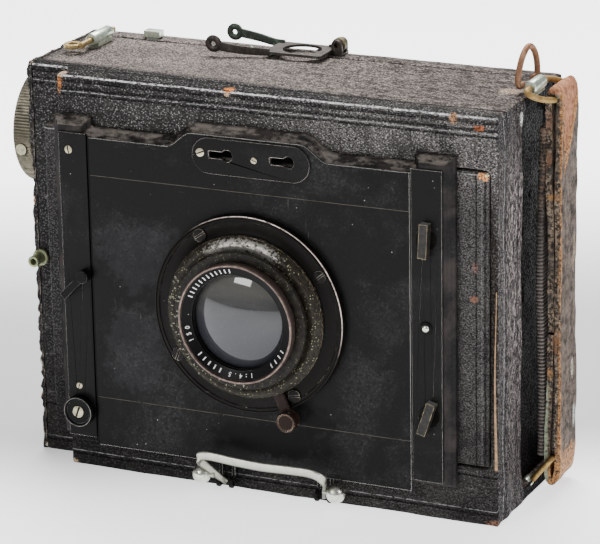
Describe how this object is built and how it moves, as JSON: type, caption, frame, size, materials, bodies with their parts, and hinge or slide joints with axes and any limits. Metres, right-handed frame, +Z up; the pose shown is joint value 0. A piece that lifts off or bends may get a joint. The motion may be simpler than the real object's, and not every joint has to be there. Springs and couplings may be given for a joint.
{
  "type": "folding strut press camera with focal-plane shutter",
  "caption": "Closed folding strut plate camera: leather box, sliding lens panel, helical-focus lens, scissor struts, bellows, roller-blind shutter and ground-glass back.",
  "frame": {"origin": "mouth of the tripod bush, in the plane of the foot, on the lens axis's vertical plane and halfway through the box's depth", "axes": "+Z up, -Y forwards out of the lens, +X towards the handle side"},
  "size_m": [0.1948, 0.0793, 0.1593],
  "materials": {
    "box_leather": "pebbled, worn",
    "board_leather": "fine grain, worn",
    "handle_leather": "worn, orange edges",
    "bellows_cloth": "matt",
    "black_lacquer": "satin black, rubbed",
    "worn_bronze": "dark bronze, worn",
    "nickel": "dull nickel, greenish",
    "brass_fittings": "tarnished",
    "verdigris": "green tarnish",
    "rusty_steel": "rusted",
    "strut_steel": "dull",
    "knob_metal": "knurled, brown",
    "wood_frame": "blackened wood",
    "lens_glass": "clear, coated by age",
    "focus_glass": "ground"
  },
  "bodies": {
    "root": {"body_shell": "box_leather", "cheek_cover": "box_leather", "tripod_bush": "brass_fittings", "shutter_frame": "black_lacquer", "curtain": "bellows_cloth", "release_socket": "verdigris", "root_brackets": "strut_steel", "bellows": "bellows_cloth", "strap_barrels": "nickel", "handle_wires": "brass_fittings", "finder_base": "worn_bronze", "rear_frame": "box_leather"},
    "front": {"front_board": "board_leather", "front_block": "black_lacquer", "rail_left": "black_lacquer", "rail_right": "black_lacquer", "front_screws": "nickel", "front_brackets": "strut_steel", "bail_lugs": "nickel"},
    "lens_panel": {"lens_panel": "black_lacquer", "keyhole_plate": "black_lacquer", "panel_screws": "nickel", "lens_flange": "black_lacquer"},
    "focus_ring": {"focus_ring": "worn_bronze"},
    "lens_barrel": {"lens_barrel": "black_lacquer", "front_rim": "worn_bronze", "lens_glass": "lens_glass", "iris": "black_lacquer"},
    "aperture_ring": {"aperture_ring": "worn_bronze"},
    "latch_upper": {"latch_upper": "black_lacquer"},
    "latch_lower": {"latch_lower": "black_lacquer"},
    "lever_left": {"lever_left": "black_lacquer"},
    "lock_knob": {"lock_knob": "black_lacquer"},
    "bail": {"bail": "nickel", "bail_balls": "nickel"},
    "winder": {"winding_knob": "knob_metal", "winder_gear": "strut_steel", "knob_screw": "nickel"},
    "roller_upper": {"roller_upper": "strut_steel"},
    "roller_lower": {"roller_lower": "strut_steel"},
    "release_plunger": {"release_plunger": "brass_fittings"},
    "finder_fork": {"finder_fork": "worn_bronze"},
    "lug_eyelet": {"lug_eyelet": "brass_fittings"},
    "strap_ring": {"strap_ring": "rusty_steel"},
    "handle": {"handle_strap": "handle_leather", "handle_lining": "handle_leather"},
    "back_catch": {"back_catch": "nickel"},
    "focus_back": {"focus_back": "wood_frame", "ground_glass": "focus_glass"},
    "cover_door": {"cover_door": "box_leather"},
    "door_catch": {"door_catch": "nickel"},
    "link_left_a1": {"link_left_a1": "strut_steel"},
    "link_left_b1": {"link_left_b1": "strut_steel"},
    "link_left_b2": {"link_left_b2": "strut_steel"},
    "link_left_a2": {"link_left_a2": "strut_steel"},
    "link_right_a1": {"link_right_a1": "strut_steel"},
    "link_right_b1": {"link_right_b1": "strut_steel"},
    "link_right_b2": {"link_right_b2": "strut_steel"},
    "link_right_a2": {"link_right_a2": "strut_steel"}
  },
  "joints": [
    {"name": "front_extend", "type": "slide", "parent": "root", "child": "front", "axis": [0, -1, 0], "range_m": [0, 0.084], "deforming": ["bellows"]},
    {"name": "strut_left_a1", "type": "hinge", "parent": "root", "child": "link_left_a1", "pos_m": [-0.078, -0.0087, 0.0245], "axis": [1, 0, 0], "range_deg": [-1, 30]},
    {"name": "strut_left_b1", "type": "hinge", "parent": "link_left_a1", "child": "link_left_b1", "pos_m": [-0.078, -0.01146, 0.07242], "axis": [1, 0, 0], "range_deg": [-60, 2]},
    {"name": "strut_left_b2", "type": "hinge", "parent": "link_left_a1", "child": "link_left_b2", "pos_m": [-0.078, -0.01423, 0.12034], "axis": [1, 0, 0], "range_deg": [-60, 2]},
    {"name": "strut_left_a2", "type": "hinge", "parent": "link_left_b2", "child": "link_left_a2", "pos_m": [-0.078, -0.01699, 0.07242], "axis": [1, 0, 0], "range_deg": [-2, 60]},
    {"name": "strut_right_a1", "type": "hinge", "parent": "root", "child": "link_right_a1", "pos_m": [0.082, -0.0087, 0.0245], "axis": [1, 0, 0], "range_deg": [-1, 30]},
    {"name": "strut_right_b1", "type": "hinge", "parent": "link_right_a1", "child": "link_right_b1", "pos_m": [0.082, -0.01146, 0.07242], "axis": [1, 0, 0], "range_deg": [-60, 2]},
    {"name": "strut_right_b2", "type": "hinge", "parent": "link_right_a1", "child": "link_right_b2", "pos_m": [0.082, -0.01423, 0.12034], "axis": [1, 0, 0], "range_deg": [-60, 2]},
    {"name": "strut_right_a2", "type": "hinge", "parent": "link_right_b2", "child": "link_right_a2", "pos_m": [0.082, -0.01699, 0.07242], "axis": [1, 0, 0], "range_deg": [-2, 60]},
    {"name": "panel_rise", "type": "slide", "parent": "front", "child": "lens_panel", "axis": [0, 0, 1], "range_m": [0, 0.012]},
    {"name": "focus_turn", "type": "hinge", "parent": "lens_panel", "child": "focus_ring", "pos_m": [0, -0.04, 0.0673], "axis": [0, 1, 0], "range_deg": [0, 100]},
    {"name": "lens_advance", "type": "slide", "parent": "lens_panel", "child": "lens_barrel", "axis": [0, -1, 0], "range_m": [0, 0.0062]},
    {"name": "aperture_turn", "type": "hinge", "parent": "lens_barrel", "child": "aperture_ring", "pos_m": [0, -0.044, 0.0673], "axis": [0, 1, 0], "range_deg": [0, 90]},
    {"name": "latch_upper_turn", "type": "hinge", "parent": "front", "child": "latch_upper", "pos_m": [0.064, -0.036, 0.1008], "axis": [0, 1, 0], "range_deg": [0, 90]},
    {"name": "latch_lower_turn", "type": "hinge", "parent": "front", "child": "latch_lower", "pos_m": [0.0647, -0.036, 0.0387], "axis": [0, 1, 0], "range_deg": [-18, 72]},
    {"name": "lever_turn", "type": "hinge", "parent": "front", "child": "lever_left", "pos_m": [-0.0627, -0.036, 0.0734], "axis": [0, 1, 0], "range_deg": [-45, 45]},
    {"name": "lock_turn", "type": "hinge", "parent": "front", "child": "lock_knob", "pos_m": [-0.0665, -0.036, 0.0233], "axis": [0, 1, 0], "range_deg": [-90, 180]},
    {"name": "bail_fold", "type": "hinge", "parent": "front", "child": "bail", "pos_m": [0.00605, -0.0328, 0.003], "axis": [1, 0, 0], "range_deg": [-8, 33]},
    {"name": "knob_wind", "type": "hinge", "parent": "root", "child": "winder", "pos_m": [-0.095, 0.0017, 0.1149], "axis": [1, 0, 0], "continuous": true},
    {"name": "roller_upper_spin", "type": "hinge", "parent": "root", "child": "roller_upper", "pos_m": [0, 0.01089, 0.128], "axis": [1, 0, 0], "continuous": true},
    {"name": "roller_lower_spin", "type": "hinge", "parent": "root", "child": "roller_lower", "pos_m": [0, 0.01089, 0.013], "axis": [1, 0, 0], "continuous": true},
    {"name": "release_press", "type": "slide", "parent": "root", "child": "release_plunger", "axis": [0, 1, 0], "range_m": [0, 0.003], "stiffness_N_per_m": 250, "springref_m": -0.001},
    {"name": "finder_fold", "type": "hinge", "parent": "root", "child": "finder_fork", "pos_m": [0.0068, 0.0265, 0.1466], "axis": [0, 1, 0], "range_deg": [0, 90]},
    {"name": "eyelet_swing", "type": "hinge", "parent": "root", "child": "lug_eyelet", "pos_m": [-0.078, 0.01, 0.146], "axis": [0, 1, 0], "range_deg": [0, 160]},
    {"name": "ring_swing", "type": "hinge", "parent": "root", "child": "strap_ring", "pos_m": [0.0834, 0.0069, 0.1454], "axis": [0, 1, 0], "range_deg": [-75, 20]},
    {"name": "handle_pull", "type": "slide", "parent": "root", "child": "handle", "axis": [1, 0, 0], "range_m": [0, 0.0015]},
    {"name": "back_catch_lift", "type": "slide", "parent": "root", "child": "back_catch", "axis": [0, 0, 1], "range_m": [0, 0.002], "stiffness_N_per_m": 300, "springref_m": -0.0005},
    {"name": "back_slide", "type": "slide", "parent": "root", "child": "focus_back", "axis": [-1, 0, 0], "range_m": [0, 0.12]},
    {"name": "cover_open", "type": "hinge", "parent": "focus_back", "child": "cover_door", "pos_m": [0, 0.0276, 0.1283], "axis": [1, 0, 0], "range_deg": [0, 90]},
    {"name": "door_catch_slide", "type": "slide", "parent": "cover_door", "child": "door_catch", "axis": [0, 0, 1], "range_m": [0, 0.002], "stiffness_N_per_m": 200, "springref_m": -0.0005}
  ],
  "couplings": [
    {"joint": "strut_left_a1", "follows": "front_extend", "rad_per_m": 5.3},
    {"joint": "strut_left_b1", "follows": "front_extend", "rad_per_m": -10.6},
    {"joint": "strut_left_b2", "follows": "front_extend", "rad_per_m": -10.6},
    {"joint": "strut_left_a2", "follows": "front_extend", "rad_per_m": 10.6},
    {"joint": "strut_right_a1", "follows": "front_extend", "rad_per_m": 5.3},
    {"joint": "strut_right_b1", "follows": "front_extend", "rad_per_m": -10.6},
    {"joint": "strut_right_b2", "follows": "front_extend", "rad_per_m": -10.6},
    {"joint": "strut_right_a2", "follows": "front_extend", "rad_per_m": 10.6},
    {"joint": "lens_advance", "follows": "focus_turn", "m_per_rad": 0.0034},
    {"joint": "roller_upper_spin", "follows": "knob_wind", "ratio": -1.5},
    {"joint": "roller_lower_spin", "follows": "knob_wind", "ratio": -1.5}
  ]
}
